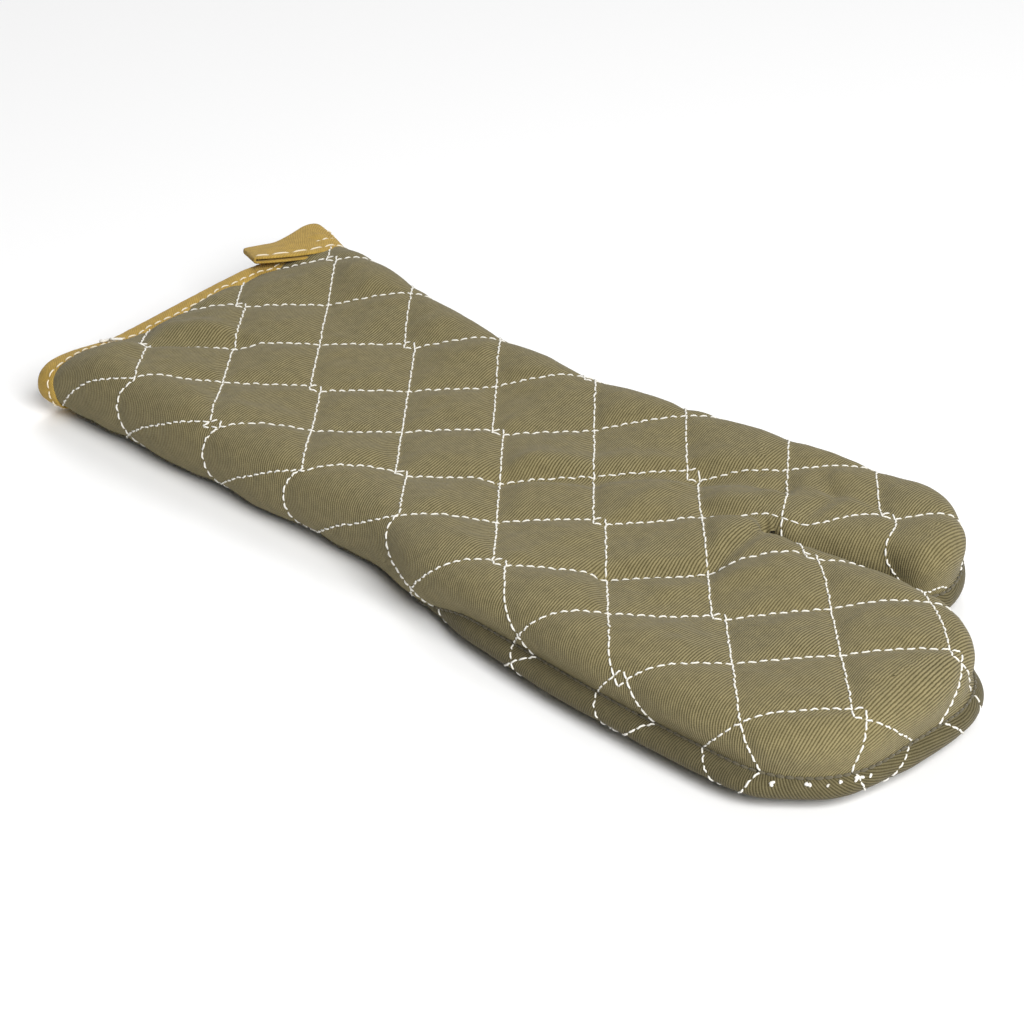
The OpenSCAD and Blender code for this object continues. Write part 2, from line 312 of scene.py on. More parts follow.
# Folds in the upper panel: lattice points, depth and half width. A negative depth is a ridge.
FOLDS = (
    (((4.0, -2.05), (5.0, -2.1), (6.1, -2.12), (6.9, -2.4)), 3.0, 5.0),
    (((4.4, -1.75), (5.6, -1.78), (6.6, -1.9)), -2.2, 7.0),
    (((5.0, -4.05), (6.0, -4.0), (6.35, -3.65), (6.75, -3.25)), 4.2, 4.2),
    (((5.6, -4.5), (6.5, -4.3), (6.9, -3.8)), -1.6, 6.0),
    (((6.75, -3.2), (6.45, -3.0), (6.1, -2.9)), 3.6, 4.2),
    (((7.3, -3.0), (7.5, -2.6), (7.4, -2.2)), 2.4, 4.0),
    (((7.1, -3.15), (6.9, -2.7)), -2.0, 5.5),
    (((0.1, 1.0), (0.6, 1.02), (1.1, 1.0)), 2.6, 5.0),
    (((0.3, 1.3), (0.9, 1.25)), -1.4, 6.0),
    (((0.0, 0.4), (0.5, 0.1), (0.9, -0.3)), 1.4, 7.0),
)


def fold_depth(i, j):
    total = np.zeros(np.shape(i))
    for path, depth, width in FOLDS:
        near = np.full(np.shape(i), 1e9)
        for (ia, ja), (ib, jb) in zip(path[:-1], path[1:]):
            di, dj = ib - ia, jb - ja
            u = np.clip(((i - ia) * di + (j - ja) * dj) / (di * di + dj * dj), 0, 1)
            near = np.minimum(near, np.hypot(i - ia - u * di, j - ja - u * dj))
        total -= depth * np.exp(-(near * DIAMOND / width) ** 2)
    return total


# ---------------------------------------------------------------- one panel's mesh
class Panel:
    """A cloth panel: 3-D places, cloth coordinates, faces, and which faces belong to the thumb."""

    def __init__(self, side, step):
        self.side = side
        every = max(1, round(step / STEP))
        keep = sorted(set(range(0, len(EDGE), every)) | {CROTCH_AT, ROOT_AT, len(EDGE) - 1})
        rings = 10 if every == 1 else 5
        inner = EDGE[keep] + NORMAL[keep] * RIM_AT[keep][:, None]
        level_of = top_level if side > 0 else bottom_level
        d_inner, _ = edge_distance(inner)
        tops = top_level(inner[:, 0], inner[:, 1], d_inner)
        bottoms = bottom_level(inner[:, 0], inner[:, 1], d_inner)
        strip = np.zeros((len(keep), rings + 1, 3))
        for n, m in enumerate(keep):
            for k in range(rings + 1):
                d, z = rim_point(side, m, k / rings, tops[n], bottoms[n])
                xy = EDGE[m] + NORMAL[m] * d
                strip[n, k] = (xy[0], xy[1], z)
        arcs = np.linalg.norm(np.diff(strip, axis=1), axis=2)
        outwards = np.cumsum(arcs[:, ::-1], axis=1)[:, ::-1]
        outwards = np.concatenate([outwards, np.zeros((len(keep), 1))], 1)
        strip_cloth = inner[:, None, :] - NORMAL[keep][:, None, :] * outwards[:, :, None]
        count = len(keep)
        # the inside of the rim: a Delaunay mesh of evenly spaced points, with the thumb fold as an edge
        xs = np.arange(inner[:, 0].min(), inner[:, 0].max(), step)
        grid = []
        for r, x in enumerate(xs):
            ys = np.arange(inner[:, 1].min(), inner[:, 1].max(), step * 1.1547) + (r % 2) * step * 0.577
            grid += [(x, y) for y in ys]
        grid = np.array(grid)
        d_grid, which = edge_distance(grid)
        toward = np.einsum("ij,ij->i", grid - EDGE[which], NORMAL[which])
        good = (toward > 0) & (d_grid > RIM_AT[which] + step * 0.6) & (grid[:, 0] > CUFF_X + step * 0.5)
        grid = grid[good]
        a, b = keep.index(CROTCH_AT), keep.index(ROOT_AT)
        cut_count = max(2, int(np.linalg.norm(inner[a] - inner[b]) / step))
        cut = inner[a] + (inner[b] - inner[a]) * (np.arange(1, cut_count) / cut_count)[:, None]
        away = np.linalg.norm(grid[:, None] - cut[None], axis=2).min(1)
        grid = grid[away > step * 0.55]
        cuff_count = int(abs(inner[-1, 1] - inner[0, 1]) / step)
        mouth = inner[-1] + (inner[0] - inner[-1]) * (np.arange(1, cuff_count) / cuff_count)[:, None]
        flat = np.concatenate([inner, mouth, cut, grid])
        n_ring = len(inner)
        border = n_ring + len(mouth)
        edges = [(k, (k + 1) % border) for k in range(border)]
        chain = [a, *range(border, border + len(cut)), b]
        edges += list(zip(chain[:-1], chain[1:]))
        made = delaunay_2d_cdt([Vector(p) for p in flat], edges, [], 0, 1e-5)
        out_points = np.array([tuple(v) for v in made[0]])
        faces = [tuple(f) for f in made[2]]
        centres = np.array([out_points[list(f)].mean(0) for f in faces])
        polygon = np.concatenate([inner, mouth])
        faces = [f for f, inside in zip(faces, inside_polygon(centres, polygon)) if inside]
        ring_id = {new: old for new, olds in enumerate(made[3]) for old in olds if old < n_ring}
        d_all, _ = edge_distance(out_points)
        z_all = level_of(out_points[:, 0], out_points[:, 1], d_all)
        index = np.arange(count * (rings + 1)).reshape(count, rings + 1).tolist()
        places, cloth = list(strip.reshape(-1, 3)), list(strip_cloth.reshape(-1, 2))
        remap = {}
        for v in range(len(out_points)):
            if v in ring_id:
                remap[v] = index[ring_id[v]][rings]
            else:
                remap[v] = len(places)
                places.append((out_points[v, 0], out_points[v, 1], z_all[v]))
                cloth.append(out_points[v])
        self.places = np.array(places, float)
        self.cloth = np.array(cloth, float)
        body = [tuple(remap[v] for v in f) for f in faces]
        quads, quad_thumb = [], []
        for n in range(count - 1):
            for k in range(rings):
                quads.append((index[n][k], index[n + 1][k], index[n + 1][k + 1], index[n][k + 1]))
                quad_thumb.append(CROTCH_AT <= keep[n] < ROOT_AT)
        fold = inner[b] - inner[a]
        across = np.array([-fold[1], fold[0]])
        if across[0] < 0:
            across = -across
        body_centres = np.array([self.places[list(f)].mean(0)[:2] for f in body])
        side_of = (body_centres - inner[a]) @ across > 0
        in_thumb = side_of & (body_centres[:, 1] > CROTCH[1] - 2)
        self.faces = quads + body
        self.thumb = np.array(quad_thumb + list(in_thumb))
        if side < 0:
            self.faces = [f[::-1] for f in self.faces]
        self.fix_winding()

    def fix_winding(self):
        """Turns any face that looks the wrong way in cloth coordinates."""
        want = 1 if self.side > 0 else -1
        fixed = []
        for f in self.faces:
            p = self.cloth[list(f)]
            q = np.roll(p, -1, axis=0)
            area = (p[:, 0] * q[:, 1] - q[:, 0] * p[:, 1]).sum()
            fixed.append(f if area * want >= 0 else f[::-1])
        self.faces = fixed


def vertex_normals(places, faces):
    """Area-weighted normals of a mesh of triangles and quads."""
    normal = np.zeros_like(places)
    for size in (3, 4):
        group = np.array([f for f in faces if len(f) == size])
        if not len(group):
            continue
        p = places[group]
        n = np.cross(p[:, 1] - p[:, 0], p[:, 2] - p[:, 0]) if size == 3 \
            else np.cross(p[:, 2] - p[:, 0], p[:, 3] - p[:, 1])
        for c in range(size):
            np.add.at(normal, group[:, c], n)
    return normal / np.maximum(np.linalg.norm(normal, axis=1)[:, None], 1e-12)


def inside_polygon(points, polygon):
    """Which points lie inside a closed polygon, by counting its edges beside each."""
    inside = np.zeros(len(points), bool)
    for (x1, y1), (x2, y2) in zip(polygon, np.roll(polygon, -1, axis=0)):
        crosses = (y1 > points[:, 1]) != (y2 > points[:, 1])
        if y1 != y2:
            at = (x2 - x1) * (points[:, 1] - y1) / (y2 - y1) + x1
            inside ^= crosses & (points[:, 0] < at)
    return inside


# ---------------------------------------------------------------- quilting relief
PLUMP, PLUMP_SPREAD = 3.5, 1.4  # height of a diamond, and how much it differs from one to the next


def quilt(panel, share=1.0):
    """Raises the diamonds between the stitch rows by a share of their height, and adds the folds."""
    side = panel.side
    d, which = edge_distance(panel.places[:, :2])
    i, j = to_lattice(panel.cloth[:, 0], panel.cloth[:, 1], (which > CROTCH_AT) & (which < ROOT_AT))
    da, db = line_distances(i, j)
    a, b = (1 - np.abs(1 - np.clip(d_row / (DIAMOND / 2), 0, 1)) ** 2.6 for d_row in (da, db))
    plump = PLUMP + PLUMP_SPREAD * (cell_value(i, j, side) - 0.5)
    pillow = share * plump * (a * b) ** 0.62
    soft = noise_field(panel.cloth, 34, 2 + side) * 1.1 + noise_field(panel.cloth, 12, 5 + side) * 0.55
    # cloth gathers into short ripples that run across each stitch row
    ripple_a = np.sin(j * DIAMOND / 3.9 * math.tau * 0.5 + 2 * soft) * np.exp(-(da / 3.2) ** 2)
    ripple_b = np.sin(i * DIAMOND / 3.9 * math.tau * 0.5 - 2 * soft) * np.exp(-(db / 3.2) ** 2)
    rise = pillow + soft * smooth(np.minimum(da, db) / 8) + 0.16 * (ripple_a + ripple_b)
    # the lower panel is flatter and has no folds
    rise = rise + fold_depth(i, j) if side > 0 else rise * 0.62
    normal = vertex_normals(panel.places, panel.faces)
    round_rim = 0.5 + 0.5 * smooth((d - 4) / 18)
    panel.places = panel.places + normal * (rise * round_rim * panel.fade)[:, None]


def fade_at_edges(panel):
    """0 on the seam line and the cuff edge, where the layers are sewn flat, 1 inside."""
    x = panel.cloth[:, 0]
    cuff = smooth((x - CUFF_X - 4) / 12)
    d, which = edge_distance(panel.places[:, :2])
    level = np.abs(panel.places[:, 2] - MID_Z)
    seam = smooth((np.maximum(d, level) - 1.0) / 9)
    panel.fade = cuff * np.maximum(seam, ROLL[which] * 0.8)


top = Panel(1, STEP)
bottom = Panel(-1, STEP)
for panel in (top, bottom):
    fade_at_edges(panel)
    quilt(panel)
bottom.places[:, 2] = np.maximum(bottom.places[:, 2], 0.05)


# ---------------------------------------------------------------- materials
def new_material(name, sheen):
    mat = bpy.data.materials.new(name)
    mat.use_nodes = True
    nodes = mat.node_tree.nodes
    links = mat.node_tree.links
    shader = nodes["Principled BSDF"]
    shader.inputs["Sheen Weight"].default_value = sheen
    shader.inputs["Sheen Roughness"].default_value = 0.5
    shader.inputs["Specular IOR Level"].default_value = 0.18
    return mat, nodes, links, shader


def math_node(nodes, links, operation, a, b):
    node = nodes.new("ShaderNodeMath")
    node.operation = operation
    for slot, value in zip(node.inputs, (a, b)):
        if isinstance(value, (int, float)):
            slot.default_value = value
        else:
            links.new(value, slot)
    return node.outputs[0]


def mix_colour(nodes, links, factor, a, b):
    node = nodes.new("ShaderNodeMix")
    node.data_type = "RGBA"
    for slot, value in ((node.inputs[0], factor), (node.inputs[6], a), (node.inputs[7], b)):
        if isinstance(value, (int, float)):
            slot.default_value = value
        elif isinstance(value, tuple):
            slot.default_value = (*value, 1.0)
        else:
            links.new(value, slot)
    return node.outputs[2]


def noise_node(nodes, links, coords, scale, detail):
    node = nodes.new("ShaderNodeTexNoise")
    node.inputs["Scale"].default_value = scale
    node.inputs["Detail"].default_value = detail
    node.inputs["Roughness"].default_value = 0.55
    links.new(coords, node.inputs["Vector"])
    return node.outputs["Fac"]


def wave_node(nodes, links, coords, scale, angle, distortion):
    turn = nodes.new("ShaderNodeVectorRotate")
    turn.rotation_type = "Z_AXIS"
    turn.inputs["Angle"].default_value = angle
    links.new(coords, turn.inputs["Vector"])
    node = nodes.new("ShaderNodeTexWave")
    node.inputs["Scale"].default_value = scale
    node.inputs["Distortion"].default_value = distortion
    node.inputs["Detail"].default_value = 1.0
    node.inputs["Detail Scale"].default_value = 2.0
    links.new(turn.outputs[0], node.inputs["Vector"])
    return node.outputs["Fac"]


def map_range(nodes, *limits):
    """Limits are the low and high value going in, then coming out."""
    node = nodes.new("ShaderNodeMapRange")
    for name, value in zip(("From Min", "From Max", "To Min", "To Max"), limits):
        node.inputs[name].default_value = value
    return node


def add_bump(nodes, links, shader, height, strength, distance):
    bump = nodes.new("ShaderNodeBump")
    bump.inputs["Strength"].default_value = strength
    bump.inputs["Distance"].default_value = distance
    links.new(height, bump.inputs["Height"])
    links.new(bump.outputs[0], shader.inputs["Normal"])


def twill_material(name, light, dark, fleck, rib_mm, rib_angle, contrast):
    """Twill in the cloth's own mm: ribs broken by the weft, slubs, and slow changes of tone."""
    mat, nodes, links, shader = new_material(name, sheen=0.08)
    attribute = nodes.new("ShaderNodeAttribute")
    attribute.attribute_name = "cloth"
    coords = attribute.outputs["Vector"]
    def calc(operation, a, b):
        return math_node(nodes, links, operation, a, b)

    pitch = math.tau / 20 / rib_mm  # the wave texture's scale for ribs rib_mm apart
    ribs = wave_node(nodes, links, coords, pitch, rib_angle, 0.8)
    weft = wave_node(nodes, links, coords, pitch * 1.45, rib_angle + 1.25, 1.4)
    grain = noise_node(nodes, links, coords, 1.7, 2.0)
    slubs = noise_node(nodes, links, coords, 0.28, 4.0)
    tone = noise_node(nodes, links, coords, 0.022, 3.0)
    broken = calc("ADD", calc("MULTIPLY", weft, 0.35), 0.65)
    weave = calc("MULTIPLY", ribs, broken)
    weave = calc("ADD", calc("MULTIPLY", weave, 0.6), calc("MULTIPLY", grain, 0.45))
    ramp = map_range(nodes, 0.12, 0.72, 0.5 - contrast / 2, 0.5 + contrast / 2)
    links.new(weave, ramp.inputs["Value"])
    colour = mix_colour(nodes, links, ramp.outputs[0], dark, light)
    patches = calc("MULTIPLY", calc("SUBTRACT", tone, 0.5), 0.7)
    colour = mix_colour(nodes, links, calc("ADD", patches, 0.2), colour, fleck)
    slub = calc("MULTIPLY", calc("SUBTRACT", slubs, 0.5), 0.6)
    value = nodes.new("ShaderNodeHueSaturation")
    links.new(calc("ADD", slub, 1.0), value.inputs["Value"])
    links.new(colour, value.inputs["Color"])
    links.new(value.outputs[0], shader.inputs["Base Color"])
    rough = calc("ADD", calc("MULTIPLY", weave, -0.12), 0.95)
    links.new(rough, shader.inputs["Roughness"])
    add_bump(nodes, links, shader, weave, 0.6, 0.0004)
    return mat


def plain_material(name, light, dark, scale):
    """Matt fibre with fine mottling."""
    mat, nodes, links, shader = new_material(name, sheen=0.2)
    coords = nodes.new("ShaderNodeTexCoord").outputs["Object"]
    grain = noise_node(nodes, links, coords, scale, 4.0)
    links.new(mix_colour(nodes, links, grain, dark, light), shader.inputs["Base Color"])
    rough = math_node(nodes, links, "MULTIPLY", grain, 0.1)
    links.new(math_node(nodes, links, "ADD", rough, 0.8), shader.inputs["Roughness"])
    add_bump(nodes, links, shader, grain, 0.4, 0.0002)
    return mat


OLIVE = twill_material("olive_twill", (0.262, 0.222, 0.114), (0.074, 0.061, 0.024),
                       (0.196, 0.158, 0.066), 1.02, math.radians(-7), 2.3)
# UNDER_PAINTED_SHADE is the lower panel's twill at about 0.56 of OLIVE's brightness. This is painted
# shade: the lower panel's lip and underside are darkened in their colour, as if turned away from the
# light.
UNDER_PAINTED_SHADE = twill_material("olive_twill_under_painted_shade", (0.146, 0.124, 0.064), (0.046, 0.038, 0.016),
                       (0.112, 0.091, 0.038), 1.02, math.radians(-7), 1.8)
TAN = twill_material("tan_tape", (0.54, 0.360, 0.078), (0.31, 0.190, 0.034),
                     (0.40, 0.254, 0.048), 0.9, math.radians(40), 0.8)
THREAD = plain_material("white_thread", (0.88, 0.86, 0.80), (0.70, 0.68, 0.62), 2600)
CREAM = plain_material("cream_thread", (0.86, 0.79, 0.62), (0.66, 0.58, 0.42), 2600)
SEAM = plain_material("olive_thread", (0.16, 0.14, 0.085), (0.08, 0.07, 0.045), 2600)
LINING = plain_material("lining_cloth", (0.62, 0.61, 0.57), (0.48, 0.47, 0.43), 900)
BATTING = plain_material("batting_fleece", (0.80, 0.77, 0.68), (0.66, 0.63, 0.54), 260)


# ---------------------------------------------------------------- closed cloth pieces
def store_cloth(me, cloth):
    store = me.attributes.new("cloth", "FLOAT_VECTOR", "POINT")
    store.data.foreach_set("vector", np.column_stack([cloth, np.zeros(len(cloth))]).ravel())


def make_object(name, points, faces, material, cloth=None):
    """A smooth-shaded object from places in mm, with cloth coordinates if they are given."""
    me = bpy.data.meshes.new(name)
    me.from_pydata([tuple(p * MM) for p in np.asarray(points)], [], faces)
    me.update()
    me.polygons.foreach_set("use_smooth", [True] * len(me.polygons))
    if cloth is not None:
        store_cloth(me, cloth)
    me.materials.append(material)
    ob = bpy.data.objects.new(name, me)
    bpy.context.scene.collection.objects.link(ob)
    return ob


def add_subdivision(ob):
    mod = ob.modifiers.new("Subdivision", "SUBSURF")
    mod.levels = mod.render_levels = 1


def subdivide(places, cloth, faces, thumb):
    """One smooth subdivision of a panel, carrying the cloth coordinates and the thumb marks."""
    me = bpy.data.meshes.new("work")
    me.from_pydata([tuple(p) for p in places], [], faces)
    me.update()
    store_cloth(me, cloth)
    mark = me.attributes.new("in_thumb", "FLOAT", "FACE")
    mark.data.foreach_set("value", thumb.astype(float))
    ob = bpy.data.objects.new("work", me)
    bpy.context.scene.collection.objects.link(ob)
    add_subdivision(ob)
    dg = bpy.context.evaluated_depsgraph_get()
    done = ob.evaluated_get(dg).to_mesh()
    n = len(done.vertices)
    co = np.zeros(n * 3)
    done.vertices.foreach_get("co", co)
    uv = np.zeros(n * 3)
    done.attributes["cloth"].data.foreach_get("vector", uv)
    out_faces = [tuple(p.vertices) for p in done.polygons]
    marks = np.zeros(len(out_faces))
    done.attributes["in_thumb"].data.foreach_get("value", marks)
    ob.evaluated_get(dg).to_mesh_clear()
    bpy.data.objects.remove(ob)
    bpy.data.meshes.remove(me)
    return co.reshape(-1, 3), uv.reshape(-1, 3)[:, :2], out_faces, marks > 0.5


def closed_cloth(name, places, cloth, faces, normal, thickness, material):
    """A closed sheet: an outer face, an inner face behind it, and a strip round each free edge."""
    used = sorted({v for f in faces for v in f})
    remap = {v: k for k, v in enumerate(used)}
    outer = places[used]
    inner = outer - normal[used] * thickness
    n = len(used)
    front = [tuple(remap[v] for v in f) for f in faces]
    back = [tuple(v + n for v in reversed(f)) for f in front]
    seen = dict.fromkeys((a, b) for f in front for a, b in zip(f, f[1:] + f[:1]))
    rim = [(b, a, a + n, b + n) for a, b in seen if (b, a) not in seen]
    ob = make_object(name, np.concatenate([outer, inner]), front + back + rim, material,
                     np.concatenate([cloth[used], cloth[used]]))
    both = np.concatenate([normal[used], -normal[used]])
    ob.data.normals_split_custom_set_from_vertices([tuple(v) for v in both])
    return ob


CLOTH_MM, BATTING_MM = 0.8, 3.9


def bend_hand(ob):
    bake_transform(ob)


def bend_thumb(ob):
    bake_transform(ob)


def finish_piece(ob, region, kind):
    """Bakes a piece's transform, and hides the CAD nodes of its kind that it stands for."""
    (bend_thumb if region == "thumb" else bend_hand)(ob)
    owners = ("thumb",) if region == "thumb" else ("palm", "fingers")
    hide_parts(*[f"{owner}_{kind}" for owner in owners])


def split(panel, word, layer, thickness, material, depth=0.0, fine=True):
    """Makes the hand piece and the thumb piece of one layer of a panel."""
    places, cloth, faces, marks = panel.places, panel.cloth, panel.faces, panel.thumb
    if fine:
        places, cloth, faces, marks = subdivide(places, cloth, faces, marks)
    normal = vertex_normals(places, faces)
    places = places - normal * depth
    made = {}
    for region in ("hand", "thumb"):
        mine = [f for f, m in zip(faces, marks) if m == (region == "thumb")]
        # every layer is trimmed back under the cuff's binding, and the inner ones also at the crotch
        centres = [cloth[list(f)].mean(0) for f in mine]
        trim_x, trim_r = (CUFF_X + 5.5, 11) if depth else (CUFF_X + 1.2, 0)
        mine = [f for f, c in zip(mine, centres) if np.hypot(*(c - CROTCH)) >= trim_r and c[0] > trim_x]
        ob = closed_cloth(f"{word}_{layer}_{region}", places, cloth, mine, normal, thickness, material)
        finish_piece(ob, region, f"{layer}_{word}")
        made[region] = (places, cloth, mine, normal)
    return made


surface = {}
# the lower panel's outer cloth takes the darker twill with painted shade
for panel, word, twill in ((top, "top", OLIVE), (bottom, "bottom", UNDER_PAINTED_SHADE)):
    for region, made in split(panel, word, "outer", CLOTH_MM, twill).items():
        surface[word, region] = made

# Lining and batting are offsets of a coarser panel that follows the folds and, less, the quilting.
for side, word in ((1, "top"), (-1, "bottom")):
    coarse = Panel(side, STEP * 2)
    fade_at_edges(coarse)
    quilt(coarse, 0.5)
    split(coarse, word, "batting", BATTING_MM, BATTING, depth=1.7, fine=False)
    split(coarse, word, "lining", CLOTH_MM, LINING, depth=6.0, fine=False)


# ---------------------------------------------------------------- stitches
def cloth_tree(word, region):
    _, cloth, faces, _ = surface[word, region]
    flat = [Vector((c[0], c[1], 0)) for c in cloth]
    return BVHTree.FromPolygons(flat, faces, epsilon=0.0)


TREES = {key: cloth_tree(*key) for key in surface}


def on_cloth(key, x, y):
    """(place, normal) on the finished outer cloth at a cloth coordinate, or None outside it."""
    hit, _, face, dist = TREES[key].find_nearest(Vector((x, y, 0)), 3.0)
    if hit is None or dist > 0.15:
        return None
    places, cloth, faces, normal = surface[key]
    f = faces[face]
    w = np.array([1.0 / (math.hypot(cloth[v][0] - x, cloth[v][1] - y) + 0.02) for v in f])
    w /= w.sum()
    return (w[:, None] * places[list(f)]).sum(0), (w[:, None] * normal[list(f)]).sum(0)


SIDES = 6


class Tubes:
    """Collects short thread tubes into one mesh."""

    def __init__(self):
        self.points, self.faces = [], []

    def add(self, path, radius, ups=None):
        path = [np.array(p, float) for p in path]
        rings = []
        last = len(path) - 1
        for k, p in enumerate(path):
            ahead = path[min(k + 1, last)] - path[max(k - 1, 0)]
            ahead /= max(np.linalg.norm(ahead), 1e-9)
            up = np.array(ups[k] if ups is not None else (0, 0, 1.0))
            across = np.cross(ahead, up)
            length = np.linalg.norm(across)
            across = across / length if length > 1e-6 else np.array([1.0, 0, 0])
            lift = np.cross(across, ahead)
            r = radius * (0.55 if k in (0, last) else 1.0)
            ring = []
            for s in range(SIDES):
                a = math.tau * s / SIDES
                ring.append(len(self.points))
                self.points.append(p + across * r * math.cos(a) + lift * r * math.sin(a))
            rings.append(ring)
        for r1, r2 in zip(rings[:-1], rings[1:]):
            for s in range(SIDES):
                t = (s + 1) % SIDES
                self.faces.append((r1[s], r1[t], r2[t], r2[s]))
        self.faces.append(tuple(reversed(rings[0])))
        self.faces.append(tuple(rings[-1]))

    def object(self, name, material):
        return make_object(name, self.points, self.faces, material)


COVERED = 9.5  # width of cloth that the binding covers
STITCH = 3.8
STITCH_LIFT = (-0.30, 0.14, 0.24, 0.14, -0.30)  # a stitch dips into the cloth at both ends
ROW_THREAD = {1: (0.37, 0.25), -1: (0.32, 0.6)}  # radius and gap for each family of rows


def sew(key, spots, tubes, radius, gap):
    """Lays stitches along cloth coordinates. Each is a short tube that dips at both ends."""
    spots = np.array(spots)
    along = lengths(spots)
    total = along[-1]
    count = max(1, round(total / STITCH))
    for n in range(count):
        a = total * n / count
        b = total * (n + 1) / count - gap
        path, ups = [], []
        for lift, u in zip(STITCH_LIFT, np.linspace(a, b, len(STITCH_LIFT))):
            got = on_cloth(key, *place_at(spots, along, u))
            if got is None:
                break
            path.append(got[0] + got[1] * lift)
            ups.append(got[1])
        if len(path) == len(STITCH_LIFT):
            tubes.add(path, radius, ups=ups)


def quilting_rows(on_thumb):
    """Each straight run of quilting between two jogs, as cloth coordinates."""
    rows = []
    for fixed in range(-12, 13):
        for sign in (1, -1):
            start = fixed - 2 * sign
            for turn in range(-8, 9):
                a = start + 3 * turn - JOG / 2
                b = start + 3 * turn + 3 + JOG / 2
                along = np.linspace(a, b, 40)
                mid = np.clip(along, start + 3 * turn, start + 3 * turn + 3)
                across = fixed + JOG * ((mid - start) / 3 - turn - 0.5)
                i, j = (across, along) if sign > 0 else (along, across)
                rows.append((np.stack(from_lattice(i, j, on_thumb), 1), sign))
    return rows


def inside_spans(key, run):
    """Parts of a run that lie on the panel and clear of the cuff binding."""
    spans, now = [], []
    along = lengths(run)
    for p in place_at(run, along, np.arange(0, along[-1], 0.9)):
        if p[0] > CUFF_X + COVERED and on_cloth(key, p[0], p[1]) is not None:
            now.append(p)
        else:
            if len(now) > 4:
                spans.append(now)
            now = []
    if len(now) > 4:
        spans.append(now)
    return spans


for word, region in surface:
    tubes = Tubes()
    for run, sign in quilting_rows(float(region == "thumb")):
        x, y = run.mean(0)
        if not (CUFF_X - 90 < x < TIP_X + 90 and NEAR_Y - 110 < y < 210):
            continue
        for span in inside_spans((word, region), run):
            sew((word, region), span, tubes, *ROW_THREAD[sign])
    ob = tubes.object(f"{word}_quilting_{region}", THREAD)
    finish_piece(ob, region, f"quilting_{word}")


RIM_STEPS = 11  # vertices of a fine panel at each outline sample
SEAM_PITCH, SEAM_STITCH, SEAM_RADIUS = 3.2, 2.7, 0.5


def seam_stitches(tubes, samples):
    """Short stitches along the bottom of the groove where the two panels meet."""
    line = np.array([(top.places[n * RIM_STEPS] + bottom.places[n * RIM_STEPS]) / 2
                     - np.array([*NORMAL[n], 0]) * 0.5 for n in samples])
    along = lengths(line)
    for n in range(int(along[-1] / SEAM_PITCH)):
        start = n * SEAM_PITCH
        tubes.add(place_at(line, along, np.linspace(start, start + SEAM_STITCH, 4)), SEAM_RADIUS)


SEAM_SPANS = {"hand": ((4, CROTCH_AT), (ROOT_AT, len(EDGE) - 4)), "thumb": ((CROTCH_AT, ROOT_AT),)}
for region, spans in SEAM_SPANS.items():
    tubes = Tubes()
    for span in spans:
        seam_stitches(tubes, range(*span))
    ob = tubes.object(f"{region}_seam_stitches", SEAM)
    finish_piece(ob, region, "seam")


def lying_thread(tubes, spots, radius):
    """A thread end lying on the upper panel, and over the binding's edge, along cloth coordinates."""
    path = []
    for x, y in spots:
        place, normal = on_cloth(("top", "hand"), x, y)
        path.append(place + normal * (0.6 + 1.6 * (1 - smooth((x - CUFF_X - COVERED) / 4))))
    tubes.add([spline(path, u) for u in np.linspace(0, 1, 24)], radius)


def spline(points, u):
    """Catmull-Rom curve through the points, u from 0 to 1."""
    n = len(points) - 1
    k = min(int(u * n), n - 1)
    t = u * n - k
    p0, p1, p2, p3 = (points[min(max(k + d, 0), n)] for d in (-1, 0, 1, 2))
    return 0.5 * ((2 * p1) + (p2 - p0) * t + (2 * p0 - 5 * p1 + 4 * p2 - p3) * t ** 2
                  + (3 * p1 - p0 - 3 * p2 + p3) * t ** 3)


# Thread ends: one over the binding, and knots where the quilting was cut at the fingertip's seam.
tubes = Tubes()
lying_thread(tubes, [(CUFF_X + dx, -43.5 + 0.22 * dx + math.sin(dx)) for dx in (2, 5, 8, 11, 14)], 0.6)
knots = [n for n in range(CROTCH_AT) if EDGE[n, 0] > 186 and EDGE[n, 1] < -58]
chance = np.random.default_rng(7)
for n in chance.choice(knots[:-2], 8, replace=False):
    outside = np.array([*NORMAL[n], 0]) * 0.35
    grid = [[bottom.places[(n + a) * RIM_STEPS + b] - outside for b in (1, 2)] for a in (0, 1)]
    path = [(1 - v) * ((1 - u) * grid[0][0] + u * grid[1][0])
            + v * ((1 - u) * grid[0][1] + u * grid[1][1]) for u, v in chance.random((3, 2))]
    tubes.add([spline(path, u) for u in np.linspace(0, 1, 7)], 0.4 + 0.25 * chance.random())
ob = tubes.object("thread_ends", THREAD)
bend_hand(ob)


# ---------------------------------------------------------------- cuff binding
def cuff_section(x, out, count):
    """A closed loop of (y, z) round the cuff at x, out mm outside the cloth."""
    loop = []
    for side in (1, -1):
        level_of = top_level if side > 0 else bottom_level
        y0, y1 = float(near_side(x)), float(far_side(x))
        line = []
        near, far = [(float(top_level(x, y, RIM)), float(bottom_level(x, y, RIM)))
                     for y in (y0 + RIM, y1 - RIM)]
        for k in range(13):
            d, z = rim_point(side, 0, k / 12, *near)
            line.append((y0 + d, z))
        for y in np.linspace(y0 + RIM, y1 - RIM, 40)[1:-1]:
            d = min(y - y0, y1 - y)
            line.append((y, float(level_of(x, y, d))))
        for k in range(12, -1, -1):
            d, z = rim_point(side, len(EDGE) - 1, k / 12, *far)
            line.append((y1 - d, z))
        loop += line if side > 0 else line[::-1]
    closed = np.array(loop + loop[:1])
    along = lengths(closed)
    even = place_at(closed, along, np.linspace(0, along[-1], count, endpoint=False))
    for _ in range(3):
        even = (np.roll(even, 1, 0) + 2 * even + np.roll(even, -1, 0)) / 4
    tangent = np.roll(even, -1, 0) - np.roll(even, 1, 0)
    tangent /= np.linalg.norm(tangent, axis=1)[:, None]
    return even + np.stack([-tangent[:, 1], tangent[:, 0]], 1) * out


